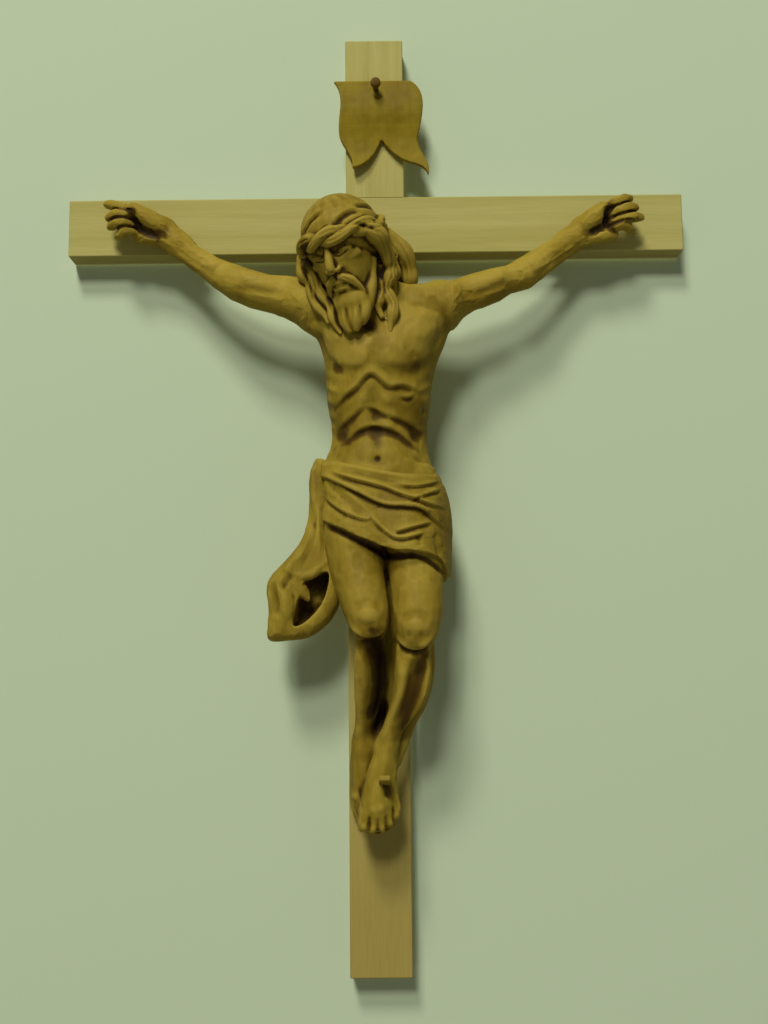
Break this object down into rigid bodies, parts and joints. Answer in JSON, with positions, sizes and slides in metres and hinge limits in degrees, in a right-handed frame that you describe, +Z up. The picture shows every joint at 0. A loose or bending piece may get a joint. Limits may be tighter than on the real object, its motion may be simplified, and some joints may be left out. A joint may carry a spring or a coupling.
{
  "type": "wall crucifix",
  "caption": "Wall crucifix: half-lapped pale wood cross with a carved bearded figure in a knotted loincloth, a blank waved scroll on a peg above it, and a keyhole hanger let into its back.",
  "frame": {"origin": "centre of the hanger plate's keyhole, on the flat back of the cross", "axes": "+X to the right as seen from the front, +Y into the wall, +Z up along the upright"},
  "size_m": [0.422, 0.1067, 0.632],
  "materials": {
    "cross_wood": "planed and sanded pale lime wood, matt",
    "carved_wood": "knife-carved lime wood, stained honey brown and waxed",
    "peg_wood": "whittled hardwood, stained dark and waxed",
    "dowel_wood": "turned beech, plain",
    "plate_steel": "zinc-plated pressed steel",
    "screw_steel": "zinc-plated steel"
  },
  "bodies": {
    "cross": {"upright": "cross_wood", "crossbeam": "cross_wood", "lap_screws": "screw_steel", "hanger_plate": "plate_steel", "hanger_screws": "screw_steel", "figure_screws": "screw_steel", "scroll_peg": "peg_wood", "figure_body": "carved_wood", "right_arm": "carved_wood", "left_arm": "carved_wood", "shoulder_dowels": "dowel_wood", "hand_dowels": "dowel_wood", "head": "carved_wood", "neck_dowel": "dowel_wood", "foot_peg": "peg_wood", "cloth_tail": "carved_wood", "tail_dowel": "dowel_wood"},
    "scroll": {"scroll": "carved_wood"}
  },
  "joints": [
    {"name": "scroll_swivel", "type": "hinge", "parent": "cross", "child": "scroll", "pos_m": [0.0012, -0.018, -0.0092], "axis": [0, -1, 0], "continuous": true}
  ]
}
